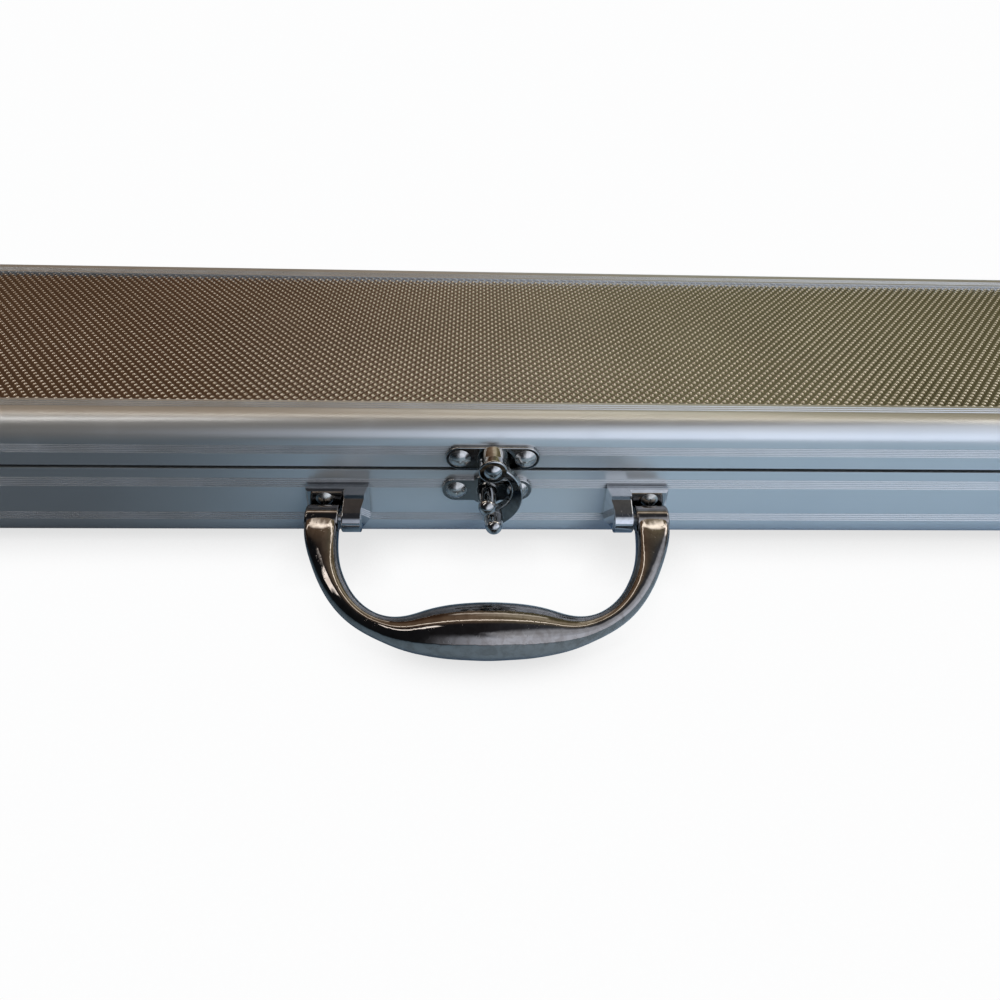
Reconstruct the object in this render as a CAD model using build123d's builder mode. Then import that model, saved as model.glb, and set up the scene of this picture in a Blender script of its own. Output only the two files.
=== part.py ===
from build123d import *
from dataclasses import dataclass
import math
import os

# ---------------------------------------------------------------------------
# Slim aluminium hard case for a two-piece billiard cue.
# Origin: centre of the whole footprint, handle and hinges included, on the
# plane the case rests on.
# +X runs along the case, -Y is the handle side, +Z is up, through the lid.
# All sizes in millimetres.
# ---------------------------------------------------------------------------

# The pieces are drawn about the middle of the box, then moved back by this
# much: the handle reaches further forward than the hinges reach back.
ORIGIN_Y = 18.03

# Overall
CASE_L = 820.0          # over the frame extrusions
CASE_W = 100.0          # over the frame extrusions, front to back
CORNER_R = 14.0         # plan radius of the case corners
HALF_L = CASE_L / 2
HALF_W = CASE_W / 2
FRONT = -HALF_W         # y of the front face
RUN_X = HALF_L - CORNER_R   # the straight runs end here
RUN_Y = HALF_W - CORNER_R

# Frame extrusions; depths are measured inwards from the outer face
Z_BOTTOM = 0.8          # underside of the base extrusions (caps stand on 0)
Z_TOP = 46.0            # top of the lid extrusions
Z_LID_EDGE = 30.8       # lower edge of the lid skirt
Z_BASE_EDGE = 29.6      # upper edge of the base wall
EDGE_R = 7.3            # outer radius of the rolled edge
LIP = 11.05             # depth of the edge and its lip
LIP_T = 0.8             # lip thickness over the panel
WALL = 1.4
SLOT_D = 6.0            # depth at which the panel slot starts
SHELF_D = 9.0           # reach of the shelf that holds the panel
SHELF_T = 1.2
PANEL_T = 2.4
PANEL_PLAY = 0.1        # slot height beyond the panel's thickness
PANEL_D = SLOT_D + 0.2  # depth of the panel's rim
SLOT_H = PANEL_T + PANEL_PLAY
LEDGE_Z = 32.1          # lid ledge that sits on the tongue
LEDGE_T = 0.9
TONGUE_Z = 32.0         # top of the sealing tongue on the base
TONGUE_FOOT_Z = 27.6
TONGUE_OUT = 1.6        # depth of the tongue's outer face
SEAL_D = 2.8            # depth of the ledge and of the tongue's inner face
GROOVE_W = 0.5          # fine extruded V grooves
GROOVE_D = 0.28
LIP_GROOVES = [8.1, 9.0, 9.9]

# Corner caps
CAP = 0.8               # thickness over the extrusions
WRAP = 13.0             # straight wrap over each extrusion
CAP_X = RUN_X - WRAP / 2    # rivets in the middle of each wrap
CAP_Y = RUN_Y - WRAP / 2

# Rivets
RIVET_R = 1.5
TAIL_R = 1.8
TAIL_H = 0.7
DRILL_OUT = 3.0         # rivet holes are cut from this far outside the case

# Hook-and-post latches; distances "out" are from the case's front face
LATCH_X = {"left": -289.0, "center": 1.0, "right": 291.0}
LATCH_PLATE_Z = 35.0
POST_PLATE_Z = 22.8
LATCH_RIVET_DX = 9.5
BASE_RIVET_DX = 9.1     # the post plate is a little shorter
BASE_PLATE_DX = -1.45   # and sits a little to the left of the pivot plate
POST_DX = -1.4
PLATE_T = 1.2
PLATE_END_R = 4.2
PLATE_EDGE_R = 0.35
PIVOT_R = 1.6
PIVOT_GAP = 0.05
PIVOT_HEAD_R = 2.55
PIVOT_HEAD_H = 1.3
HOOK_BACK = 4.45        # out to the back of the hook
HOOK_T = 2.4
HUB_R = 4.1
HOOK_TAIL = (0.6, -18.1)    # tail and knob centre from the hook pivot
HOOK_TAIL_R = 3.2
KNOB_STEM_R = 2.95
KNOB_R = 2.5            # domed end of the finger knob
KNOB_H = 2.35
KNOB_STEM_L = 2.9
POST_NECK_R = 2.3
POST_HEAD_R = 2.65
POST_HEAD_H = 2.1
POST_OUT = 10.1         # out to the tip of the post

# Handle brackets; X distances are from the middle of the case
PIVOT_OFF = 7.4         # handle axis from the front face
PIVOT_Z = 17.8
PIN_R = 1.5
PIN_GAP = 0.05
PIN_START = 38.0        # the pin's inner end, inside the lug
PIN_END = 51.2
LUG_IN = 35.2           # the lug's inner side
LUG_FRONT_IN = 36.7     # the inner side narrows to this towards the pivot
LUG_OUT = 42.1
LUG_END_R = 3.9
FOOT_OUT = 52.9
FOOT_T = 3.1
FOOT_LOW = 11.2
BRACKET_TOP = 24.5
SCREW_X = 47.9
SCREW_Z = 21.0

# Handle
DROOP = 19.7            # the handle's angle below horizontal, in degrees
ARM_IN = 43.0           # barrel ends about the pivot axis
ARM_OUT = 52.6
ARM_END_R = 3.8
ARM_IN_RIM = 0.5        # rim radii of the barrel ends
ARM_OUT_RIM = 0.8
ARM_BORE_END = 51.5

# Hinges
HINGE_X = {"left": -300.0, "center": 0.0, "right": 300.0}
HINGE_Z = 30.2
HINGE_OFF = 2.4         # pin axis behind the rear face
HINGE_Y = HALF_W + HINGE_OFF
HINGE_W = 34.0
HINGE_PIN_R = 1.0
HINGE_PIN_GAP = 0.05
KNUCKLE_R = 2.3
KNUCKLE_MID = 5.9       # half length of the middle knuckle
KNUCKLE_SIDE = HINGE_W / 2 - KNUCKLE_MID - 0.2  # length of each side knuckle
LEAF_T = 1.0
LEAF_CORNER_R = 2.0
LID_LEAF_RIVET_Z = 35.2
BASE_LEAF_RIVET_Z = 23.0
LEAF_RIVET_DX = 11.5
STOP_W = 9.0            # stop lips, along the hinge

# Padding: the cue bed in the base and the pad in the lid
BED_GAP = 3.2
BED_HALF_L = HALF_L - BED_GAP
BED_HALF_W = HALF_W - BED_GAP
BED_FLOOR = 7.0
BED_TOP = 27.5
BLOCK_LIFT = 0.05       # gap between the floor and the raised blocks
BLOCK_GAP = 0.1         # gap between neighbouring blocks
BUTT_Y = 21.0
BUTT_W = 32.0
SHAFT_Y = -23.0
SHAFT_W = 24.0
CHANNEL_X0 = -396.0
CHANNEL_X1 = 346.0
POCKET_X0 = 356.0
POCKET_X1 = 397.0
FINGER_GAP = 64.0
PAD_LOW = 37.2          # underside of the lid pad
PAD_GAP = 1.8
PAD_PLAY = 0.1          # between the padding and the panel shelves
PLUG_L = CASE_L - 2 * SHELF_D - 0.8     # padding that fits between the shelves
PLUG_W = CASE_W - 2 * SHELF_D - 0.8
PLUG_R = 4.6

COS45 = math.cos(math.pi / 4)


@dataclass(frozen=True)
class Level:
    """The lid or the base half of the frame."""
    name: str
    up: int             # +1 if the lip is at the top, -1 if at the bottom
    outer_z: float      # outer face of the lip
    edge_z: float       # where the wall meets the other half
    grooves: list       # heights of the face grooves
    seal: list          # section of the ledge or tongue, (depth, z)
    cap_rivet_z: float

    @property
    def arc_z(self):
        """Height at which the rolled edge meets the wall."""
        return self.outer_z - self.up * EDGE_R


LID = Level(
    name="lid", up=1, outer_z=Z_TOP, edge_z=Z_LID_EDGE,
    grooves=[35.7, 36.35, 37.0, 37.65, 38.3],
    seal=[(WALL, LEDGE_Z + LEDGE_T), (SEAL_D, LEDGE_Z + LEDGE_T), (SEAL_D, LEDGE_Z),
          (WALL, LEDGE_Z), (WALL, Z_LID_EDGE)],
    cap_rivet_z=35.0,
)
BASE = Level(
    name="base", up=-1, outer_z=Z_BOTTOM, edge_z=Z_BASE_EDGE,
    grooves=[25.85, 25.1, 24.35, 23.6, 22.9, 12.1, 11.3, 10.5, 9.7],
    seal=[(WALL, TONGUE_FOOT_Z), (SEAL_D, TONGUE_FOOT_Z), (SEAL_D, TONGUE_Z),
          (TONGUE_OUT, TONGUE_Z), (TONGUE_OUT, Z_BASE_EDGE)],
    cap_rivet_z=17.6,
)

# ---------------------------------------------------------------------------
# Planes on the sides of the case
# ---------------------------------------------------------------------------
OUTWARD = {"front": (0, -1, 0), "rear": (0, 1, 0), "left": (-1, 0, 0), "right": (1, 0, 0)}
# left to right for a viewer who faces the side from outside, except on the
# right and left sides' own axes: always horizontal, with outward x ALONG up
ALONG = {"front": (1, 0, 0), "rear": (-1, 0, 0), "left": (0, -1, 0), "right": (0, 1, 0)}


def reverse(direction):
    return tuple(-c for c in direction)


def side_point(side, place, z, out=0.0):
    """Point on a side, place along it (x or y), at height z and out from its face."""
    normal = OUTWARD[side]
    if side in ("front", "rear"):
        return (place, normal[1] * (HALF_W + out), z)
    return (normal[0] * (HALF_L + out), place, z)


def section_plane(side, place):
    """Cross-section plane of a side: local x points inwards, local y up."""
    return Plane(origin=side_point(side, place, 0), x_dir=reverse(OUTWARD[side]),
                 z_dir=ALONG[side])


def face_plane(side, place, z, out=0.0):
    """Plane on a side's outer face: normal outwards, local y up."""
    return Plane(origin=side_point(side, place, z, out), x_dir=ALONG[side],
                 z_dir=OUTWARD[side])


def spin_plane(side, place, z):
    """Plane through a fastener's axis, local x out and y up, with that axis."""
    origin = side_point(side, place, z)
    plane = Plane(origin=origin, x_dir=OUTWARD[side], z_dir=reverse(ALONG[side]))
    return plane, Axis(origin, OUTWARD[side])


def knuckle_plane(x):
    """Plane across a hinge pin: origin on its axis, local x rearwards, local y up."""
    return Plane(origin=(x, HINGE_Y, HINGE_Z), x_dir=(0, 1, 0), z_dir=(1, 0, 0))


def save(piece, name):
    """Place a finished piece in the case's frame, label it and write its STEP file."""
    placed = piece.part.moved(Location((0, ORIGIN_Y, 0)))
    placed.label = name
    export_step(placed, f"parts/{name}.step")


# ---------------------------------------------------------------------------
# Fastener places: (side, place along it, z)
# ---------------------------------------------------------------------------
def pairs(side, centres, offset, z):
    """Two places about each centre."""
    return [(side, centre + s * offset, z) for centre in centres for s in (-1, 1)]


def cap_rivets(level):
    """The corner-cap rivets all round one level."""
    return [
        (side, s * reach, level.cap_rivet_z)
        for sides, reach in ((("front", "rear"), CAP_X), (("left", "right"), CAP_Y))
        for side in sides
        for s in (-1, 1)
    ]


LATCH_LID_RIVETS = pairs("front", LATCH_X.values(), LATCH_RIVET_DX, LATCH_PLATE_Z)
LATCH_BASE_RIVETS = pairs("front", [x + BASE_PLATE_DX for x in LATCH_X.values()],
                          BASE_RIVET_DX, POST_PLATE_Z)
HINGE_LID_RIVETS = pairs("rear", HINGE_X.values(), LEAF_RIVET_DX, LID_LEAF_RIVET_Z)
HINGE_BASE_RIVETS = pairs("rear", HINGE_X.values(), LEAF_RIVET_DX, BASE_LEAF_RIVET_Z)
BRACKET_SCREWS = pairs("front", [0], SCREW_X, SCREW_Z)
FRAME_HOLES = {
    "lid": LATCH_LID_RIVETS + HINGE_LID_RIVETS + cap_rivets(LID),
    "base": LATCH_BASE_RIVETS + HINGE_BASE_RIVETS + cap_rivets(BASE) + BRACKET_SCREWS,
}


# ---------------------------------------------------------------------------
# Outlines, each built on its own outside any part
# ---------------------------------------------------------------------------
def notched(start, end, grooves, axis, into):
    """Straight run with a V groove at each position; into is the sign into the metal."""
    step = math.copysign(GROOVE_W / 2, end[axis] - start[axis])
    points = [start]
    for groove in grooves:
        for position, depth in ((groove - step, 0.0), (groove, GROOVE_D), (groove + step, 0.0)):
            point = list(start)
            point[axis] = position
            point[1 - axis] += into * depth
            points.append(tuple(point))
    return points + [end]


def edge_middle(level, radius):
    """Middle point of the rolled edge, drawn at a radius."""
    return (EDGE_R - radius * COS45, level.arc_z + level.up * radius * COS45)


def frame_section(level, proud=0.0, grooved=True):
    """Closed section of an extrusion, or of a corner piece standing proud of it."""
    up = level.up
    lip_z = level.outer_z + up * proud
    face = [(-proud, level.edge_z), (-proud, level.arc_z)]
    lip = [(EDGE_R, lip_z), (LIP, lip_z)]
    if grooved:
        face = notched(*face, level.grooves, axis=1, into=1)
        lip = notched(*lip, LIP_GROOVES, axis=0, into=-up)
    panel_z = level.outer_z - up * LIP_T
    shelf_z = panel_z - up * SLOT_H
    shelf_back = shelf_z - up * SHELF_T
    with BuildLine() as outline:
        Polyline(*face)
        ThreePointArc(face[-1], edge_middle(level, EDGE_R + proud), lip[0])
        Polyline(*lip)
        Polyline(
            lip[-1], (LIP, panel_z), (SLOT_D, panel_z), (SLOT_D, shelf_z),
            (SHELF_D, shelf_z), (SHELF_D, shelf_back), (WALL, shelf_back),
            *level.seal, face[0],
        )
    return outline.edges()


def wrap_section(level):
    """Thin cap section that wraps over the outside of an extrusion."""
    edge_z, arc_z, lip_z = level.edge_z, level.arc_z, level.outer_z
    cap_z = lip_z + level.up * CAP
    with BuildLine() as outline:
        Polyline((0, edge_z), (-CAP, edge_z), (-CAP, arc_z))
        ThreePointArc((-CAP, arc_z), edge_middle(level, EDGE_R + CAP), (EDGE_R, cap_z))
        Polyline((EDGE_R, cap_z), (LIP, cap_z), (LIP, lip_z), (EDGE_R, lip_z))
        ThreePointArc((EDGE_R, lip_z), edge_middle(level, EDGE_R), (0, arc_z))
        Line((0, arc_z), (0, edge_z))
    return outline.edges()


def dome_middle(seat, radius, height):
    """Middle point of a dome's profile, from its rim at the seat to its crown."""
    sphere_r = (radius * radius + height * height) / (2 * height)
    half = math.acos((sphere_r - height) / sphere_r) / 2
    return (seat + height - sphere_r + sphere_r * math.cos(half), sphere_r * math.sin(half))


def rivet_section(seat, head_r, head_h):
    """Half section of a domed rivet; its head sits at seat, out from the case face."""
    tail_end = -WALL - TAIL_H
    crown = (seat + head_h, 0)
    with BuildLine() as outline:
        Polyline((tail_end, 0), (tail_end, TAIL_R), (-WALL, TAIL_R), (-WALL, RIVET_R),
                 (seat, RIVET_R), (seat, head_r))
        ThreePointArc((seat, head_r), dome_middle(seat, head_r, head_h), crown)
        Line(crown, (tail_end, 0))
    return outline.edges()


def left_crossing(centre0, r0, centre1, r1):
    """Crossing of two circles on the left of the line from centre0 to centre1."""
    dx, dy = centre1[0] - centre0[0], centre1[1] - centre0[1]
    distance = math.hypot(dx, dy)
    along = (r0 * r0 - r1 * r1 + distance * distance) / (2 * distance)
    offset = math.sqrt(r0 * r0 - along * along)
    return (centre0[0] + (along * dx - offset * dy) / distance,
            centre0[1] + (along * dy + offset * dx) / distance)


def on_circle(centre, radius, toward):
    """Point of a circle in the direction of another point."""
    dx, dy = toward[0] - centre[0], toward[1] - centre[1]
    distance = math.hypot(dx, dy)
    return (centre[0] + radius * dx / distance, centre[1] + radius * dy / distance)


def hook_outline():
    """Hook about its pivot: hub, outer arc, round tail tangent to both arcs, inner arc."""
    hub = (0.0, 0.0)
    outer = (-4.0, -9.7)
    inner = (-2.3, -7.5)
    outer_r = math.dist(HOOK_TAIL, outer) + HOOK_TAIL_R
    inner_r = math.dist(HOOK_TAIL, inner) - HOOK_TAIL_R
    start = left_crossing(hub, HUB_R, outer, outer_r)
    low = on_circle(outer, outer_r, HOOK_TAIL)
    high = on_circle(inner, inner_r, HOOK_TAIL)
    join = left_crossing(hub, HUB_R, inner, inner_r)
    with BuildLine() as outline:
        ThreePointArc(start, on_circle(outer, outer_r, (20, -9.0)), low)
        ThreePointArc(low, on_circle(HOOK_TAIL, HOOK_TAIL_R, (-20, -30)), high)
        ThreePointArc(high, on_circle(inner, inner_r, (20, -10.0)), join)
        ThreePointArc(join, on_circle(hub, HUB_R, (-10, 6)), start)
    return outline.edges()


# ---------------------------------------------------------------------------
# Shell: frame extrusions, corner caps and panels
# ---------------------------------------------------------------------------
def make_frame(level, side):
    """One straight extrusion with its fastener holes."""
    half_run = RUN_X if side in ("front", "rear") else RUN_Y
    start = -sum(ALONG[side]) * half_run
    section = frame_section(level)
    drills = [face_plane(*hole, DRILL_OUT) for hole in FRAME_HOLES[level.name] if hole[0] == side]
    with BuildPart() as frame:
        with BuildSketch(section_plane(side, start)):
            make_face(section)
        extrude(amount=2 * half_run)
        with BuildSketch(*drills):
            Circle(RIVET_R)
        extrude(amount=-6.5, mode=Mode.SUBTRACT)
    save(frame, f"{level.name}_frame_{side}")


def make_corner_cap(level, long_side, short_side):
    """A quarter-round corner with a thin wrap over each extrusion."""
    sx = OUTWARD[short_side][0]
    sy = OUTWARD[long_side][1]
    corner_x, corner_y = sx * RUN_X, sy * RUN_Y
    # from the long side's end round to the short side's end
    turn = 90.0 if sx * sy < 0 else -90.0
    solid_section = frame_section(level, CAP, grooved=False)
    thin_section = wrap_section(level)
    with BuildPart() as cap:
        with BuildSketch(section_plane(long_side, corner_x)):
            make_face(solid_section)
        revolve(axis=Axis((corner_x, corner_y, 0), (0, 0, 1)), revolution_arc=turn)
        for side, place, sign in ((long_side, corner_x, sx), (short_side, corner_y, sy)):
            with BuildSketch(section_plane(side, place)):
                make_face(thin_section)
            extrude(amount=-sign * sum(ALONG[side]) * WRAP)
        for side, place in ((long_side, sx * CAP_X), (short_side, sy * CAP_Y)):
            with BuildSketch(face_plane(side, place, level.cap_rivet_z, DRILL_OUT)):
                Circle(RIVET_R)
            extrude(amount=-3.9, mode=Mode.SUBTRACT)
    save(cap, f"{level.name}_corner_{long_side}_{short_side}")


def make_panel(name, low_z):
    """Sheet panel held in the extrusions' slots."""
    with BuildPart() as panel:
        with BuildSketch(Plane.XY.offset(low_z)):
            RectangleRounded(CASE_L - 2 * PANEL_D, CASE_W - 2 * PANEL_D, CORNER_R - PANEL_D)
        extrude(amount=PANEL_T)
    save(panel, name)


# ---------------------------------------------------------------------------
# Padding: raised blocks on a floor slab leave a wide channel for the butt, a
# narrow one for the shaft, a gap for the fingers at mid length and a pocket
# ---------------------------------------------------------------------------
BASE_SHELF_TOP = Z_BOTTOM + LIP_T + SLOT_H + SHELF_T
LID_SHELF_LOW = Z_TOP - LIP_T - SLOT_H - SHELF_T
BUTT_Y0, BUTT_Y1 = BUTT_Y - BUTT_W / 2, BUTT_Y + BUTT_W / 2
SHAFT_Y0, SHAFT_Y1 = SHAFT_Y - SHAFT_W / 2, SHAFT_Y + SHAFT_W / 2
CROSS_Y0, CROSS_Y1 = SHAFT_Y0 + BLOCK_GAP, BUTT_Y1 - BLOCK_GAP  # ends of the cross blocks
# x0, x1, y0, y1
BLOCKS = {
    "bed_rail_front": (-BED_HALF_L, BED_HALF_L, -BED_HALF_W, SHAFT_Y0),
    "bed_rail_rear": (-BED_HALF_L, BED_HALF_L, BUTT_Y1, BED_HALF_W),
    "bed_rail_middle_left": (CHANNEL_X0, -FINGER_GAP / 2, SHAFT_Y1, BUTT_Y0),
    "bed_rail_middle_right": (FINGER_GAP / 2, CHANNEL_X1, SHAFT_Y1, BUTT_Y0),
    "bed_end_left": (-BED_HALF_L, CHANNEL_X0 - BLOCK_GAP, CROSS_Y0, CROSS_Y1),
    "bed_divider": (CHANNEL_X1 + BLOCK_GAP, POCKET_X0, CROSS_Y0, CROSS_Y1),
    "bed_end_right": (POCKET_X1, BED_HALF_L, CROSS_Y0, CROSS_Y1),
}


def make_bed_floor():
    """Slab over the base shelves, with a plug below it between them."""
    slab_low = BASE_SHELF_TOP + PAD_PLAY
    with BuildPart() as floor:
        with BuildSketch(Plane.XY.offset(slab_low)):
            RectangleRounded(2 * BED_HALF_L, 2 * BED_HALF_W, CORNER_R - BED_GAP)
        extrude(amount=BED_FLOOR - slab_low)
        with BuildSketch(Plane.XY.offset(BASE_SHELF_TOP - SHELF_T)):
            RectangleRounded(PLUG_L, PLUG_W, PLUG_R)
        extrude(amount=SHELF_T + 0.2)
    save(floor, "bed_floor")


def make_block(name, x0, x1, y0, y1):
    """One raised block of the cue bed."""
    with BuildPart() as block:
        with BuildSketch(Plane.XY.offset(BED_FLOOR + BLOCK_LIFT)):
            with Locations(((x0 + x1) / 2, (y0 + y1) / 2)):
                Rectangle(x1 - x0, y1 - y0)
        extrude(amount=BED_TOP - BED_FLOOR - BLOCK_LIFT)
        # the long outer rails round off with the case's corners
        if name == "bed_rail_front":
            fillet(block.edges().filter_by(Axis.Z).group_by(Axis.Y)[0], CORNER_R - BED_GAP)
        if name == "bed_rail_rear":
            # smaller: this rail is narrower
            fillet(block.edges().filter_by(Axis.Z).group_by(Axis.Y)[-1],
                   CORNER_R - BED_GAP - 1.2)
        fillet(block.faces().sort_by(Axis.Z)[-1].edges(), 2.4)
    save(block, name)


def make_lid_pad():
    """Pad under the lid shelves, with a plug above it between them."""
    with BuildPart() as pad:
        with BuildSketch(Plane.XY.offset(PAD_LOW)):
            RectangleRounded(CASE_L - 2 * PAD_GAP, CASE_W - 2 * PAD_GAP, CORNER_R - PAD_GAP)
        extrude(amount=LID_SHELF_LOW - PAD_PLAY - PAD_LOW)
        # starts inside the pad, so that the two join
        with BuildSketch(Plane.XY.offset(LID_SHELF_LOW - 0.3)):
            RectangleRounded(PLUG_L, PLUG_W, PLUG_R)
        extrude(amount=SHELF_T + 0.3)
    save(pad, "lid_pad")


# ---------------------------------------------------------------------------
# Latches: a pivot plate on the lid, a swinging hook, and a post plate on the base
# ---------------------------------------------------------------------------
def make_latch_plate(where, x):
    """Lid plate, with a raised cone in the middle that carries the pivot."""
    with BuildPart() as plate:
        with BuildSketch(face_plane("front", x, LATCH_PLATE_Z)):
            SlotCenterToCenter(2 * LATCH_RIVET_DX, 2 * (PLATE_END_R - 0.1))
        extrude(amount=PLATE_T)
        fillet(plate.faces().sort_by(Axis.Y)[0].edges(), PLATE_EDGE_R)
        # cone, cut flat along its lower side; it starts 0.2 inside the plate
        with BuildSketch(face_plane("front", x, LATCH_PLATE_Z, PLATE_T - 0.2)):
            Circle(4.5)
            with Locations((0, 1.9)):
                Rectangle(14, 11.8, mode=Mode.INTERSECT)
        extrude(amount=HOOK_BACK - 0.1 - PLATE_T + 0.2, taper=10)
        with BuildSketch(face_plane("front", x, LATCH_PLATE_Z, 6.0)):
            Circle(PIVOT_R)
        extrude(amount=-7.0, mode=Mode.SUBTRACT)
        with BuildSketch(face_plane("front", x, LATCH_PLATE_Z, 5.0)):
            with Locations((-LATCH_RIVET_DX, 0), (LATCH_RIVET_DX, 0)):
                Circle(RIVET_R)
        extrude(amount=-6.0, mode=Mode.SUBTRACT)
    save(plate, f"latch_plate_{where}")


def make_latch_pivot(where, x):
    """Pivot rivet, headed over the hook."""
    plane, axis = spin_plane("front", x, LATCH_PLATE_Z)
    back = 0.1
    seat = HOOK_BACK + HOOK_T + 0.05
    crown = (seat + PIVOT_HEAD_H, 0)
    with BuildPart() as pivot:
        with BuildSketch(plane):
            with BuildLine():
                Polyline((back, 0), (back, PIVOT_R), (seat, PIVOT_R), (seat, PIVOT_HEAD_R))
                ThreePointArc((seat, PIVOT_HEAD_R),
                              dome_middle(seat, PIVOT_HEAD_R, PIVOT_HEAD_H), crown)
                Line(crown, (back, 0))
            make_face()
        revolve(axis=axis, revolution_arc=360)
    save(pivot, f"latch_pivot_{where}")


def soften(edges, radii):
    """Round the edges with the largest of the radii that the shape takes."""
    for radius in radii:
        # a fillet too large for the hook's outline raises ValueError
        try:
            return fillet(edges, radius)
        except ValueError:
            continue
    return chamfer(edges, radii[-1])


def make_latch_hook(where, x):
    """Hub, crescent and a finger knob at the tail."""
    outline = hook_outline()
    knob_plane, knob_axis = spin_plane("front", x + HOOK_TAIL[0], LATCH_PLATE_Z + HOOK_TAIL[1])
    root = HOOK_BACK + HOOK_T - 0.3     # a little inside the hook
    seat = root + KNOB_STEM_L
    crown = (seat + KNOB_H, 0)
    with BuildPart() as hook:
        with BuildSketch(face_plane("front", x, LATCH_PLATE_Z, HOOK_BACK)):
            make_face(outline)
        extrude(amount=HOOK_T)
        soften(hook.faces().sort_by(Axis.Y)[0].edges(), (0.5, 0.45, 0.4, 0.35, 0.3))
        # tapered stem and domed end of the knob
        with BuildSketch(knob_plane):
            with BuildLine():
                Polyline((root, 0), (root, KNOB_STEM_R), (seat, KNOB_R))
                ThreePointArc((seat, KNOB_R), dome_middle(seat, KNOB_R, KNOB_H), crown)
                Line(crown, (root, 0))
            make_face()
        revolve(axis=knob_axis, revolution_arc=360)
        with BuildSketch(face_plane("front", x, LATCH_PLATE_Z, 12.0)):
            Circle(PIVOT_R + PIVOT_GAP)
        extrude(amount=-12.0, mode=Mode.SUBTRACT)
    save(hook, f"latch_hook_{where}")


def make_latch_post(where, x):
    """Base plate with the post the hook closes under."""
    plate_plane = face_plane("front", x + BASE_PLATE_DX, POST_PLATE_Z)
    post_plane, post_axis = spin_plane("front", x + POST_DX, POST_PLATE_Z)
    root = PLATE_T - 0.3                # a little inside the plate
    head = POST_OUT - POST_HEAD_H
    with BuildPart() as post:
        with BuildSketch(plate_plane):
            SlotCenterToCenter(2 * BASE_RIVET_DX, 2 * PLATE_END_R)
            Circle(5.7)
        extrude(amount=PLATE_T)
        fillet(post.faces().sort_by(Axis.Y)[0].edges(), PLATE_EDGE_R)
        with BuildSketch(plate_plane):
            with Locations((-BASE_RIVET_DX, 0), (BASE_RIVET_DX, 0)):
                Circle(RIVET_R)
        extrude(amount=PLATE_T + 1, mode=Mode.SUBTRACT)
        with BuildSketch(post_plane):
            with BuildLine():
                # root, tapered shank, narrow neck, flared head
                Polyline((root, 0), (root, 3.25), (PLATE_T + 0.6, 2.95),
                         (head - 0.9, POST_NECK_R), (head - 0.4, POST_HEAD_R),
                         (head, POST_HEAD_R))
                ThreePointArc((head, POST_HEAD_R),
                              dome_middle(head, POST_HEAD_R, POST_HEAD_H), (POST_OUT, 0))
                Line((POST_OUT, 0), (root, 0))
            make_face()
        revolve(axis=post_axis, revolution_arc=360)
    save(post, f"latch_post_{where}")


# ---------------------------------------------------------------------------
# Handle brackets, pins and the cast handle
# ---------------------------------------------------------------------------
def lug_end(degrees):
    """Point of the lug's round end, in the lug's (out, z) section."""
    angle = math.radians(degrees)
    return (PIVOT_OFF + LUG_END_R * math.cos(angle), PIVOT_Z + LUG_END_R * math.sin(angle))


def make_bracket(where, s):
    """Lug on the inner half and foot plate on the outer half; s is the sign of x."""
    top_degrees, low_degrees = 66, -95
    end_top, end_low = lug_end(top_degrees), lug_end(low_degrees)
    with BuildPart() as bracket:
        with BuildSketch(Plane(origin=(s * LUG_IN, FRONT, 0), x_dir=(0, -1, 0),
                               z_dir=(-1, 0, 0))):
            with BuildLine():
                Polyline((0, BRACKET_TOP), (5.1, BRACKET_TOP), (5.1, 23.1), end_top)
                ThreePointArc(end_top, lug_end((top_degrees + low_degrees) / 2), end_low)
                Polyline(end_low, (3.0, 12.4), (0, 12.0), (0, BRACKET_TOP))
            make_face()
        extrude(amount=-s * (LUG_OUT - LUG_IN))
        # the inner side narrows towards the pivot
        with BuildSketch(Plane.XY.offset(BRACKET_TOP + 1)):
            Polygon((s * (LUG_IN - 3), FRONT - 1.6), (s * LUG_IN, FRONT - 1.6),
                    (s * LUG_FRONT_IN, FRONT - 8.0), (s * LUG_FRONT_IN, FRONT - 14),
                    (s * (LUG_IN - 3), FRONT - 14), align=None)
        extrude(amount=-16, mode=Mode.SUBTRACT)
        # rounded rims on the side that faces the handle's arm
        outer_rim = bracket.edges().filter_by(
            lambda e: abs(e.center().X - s * LUG_OUT) < 0.01 and e.center().Y < FRONT - 0.6)
        fillet(outer_rim, 0.45)
        # foot plate, reaching a little into the lug
        with BuildSketch(face_plane("front", s * (LUG_OUT + FOOT_OUT) / 2,
                                    (BRACKET_TOP + FOOT_LOW) / 2)):
            Rectangle(FOOT_OUT - LUG_OUT + 0.8, BRACKET_TOP - FOOT_LOW)
        extrude(amount=FOOT_T)
        foot_edges = bracket.edges().filter_by(
            lambda e: abs(e.center().Y - (FRONT - FOOT_T)) < 0.01
            and abs(e.center().X) > LUG_OUT + 0.3)
        chamfer(foot_edges, 0.6)
        with BuildSketch(face_plane("front", s * SCREW_X, SCREW_Z, 6.0)):
            Circle(RIVET_R)
        extrude(amount=-7.0, mode=Mode.SUBTRACT)
        # blind pin hole from the outer side of the lug
        with BuildSketch(Plane(origin=(s * (LUG_OUT + 1), FRONT - PIVOT_OFF, PIVOT_Z),
                               z_dir=(-s, 0, 0))):
            Circle(PIN_R)
        extrude(amount=LUG_OUT + 1 - PIN_START, mode=Mode.SUBTRACT)
    save(bracket, f"handle_bracket_{where}")


def make_handle_pins():
    with BuildPart() as pins:
        for s in (-1, 1):
            with BuildSketch(Plane(origin=(s * PIN_START, FRONT - PIVOT_OFF, PIVOT_Z),
                                   z_dir=(s, 0, 0))):
                Circle(PIN_R)
            extrude(amount=PIN_END - PIN_START)
    save(pins, "handle_pins")


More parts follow.
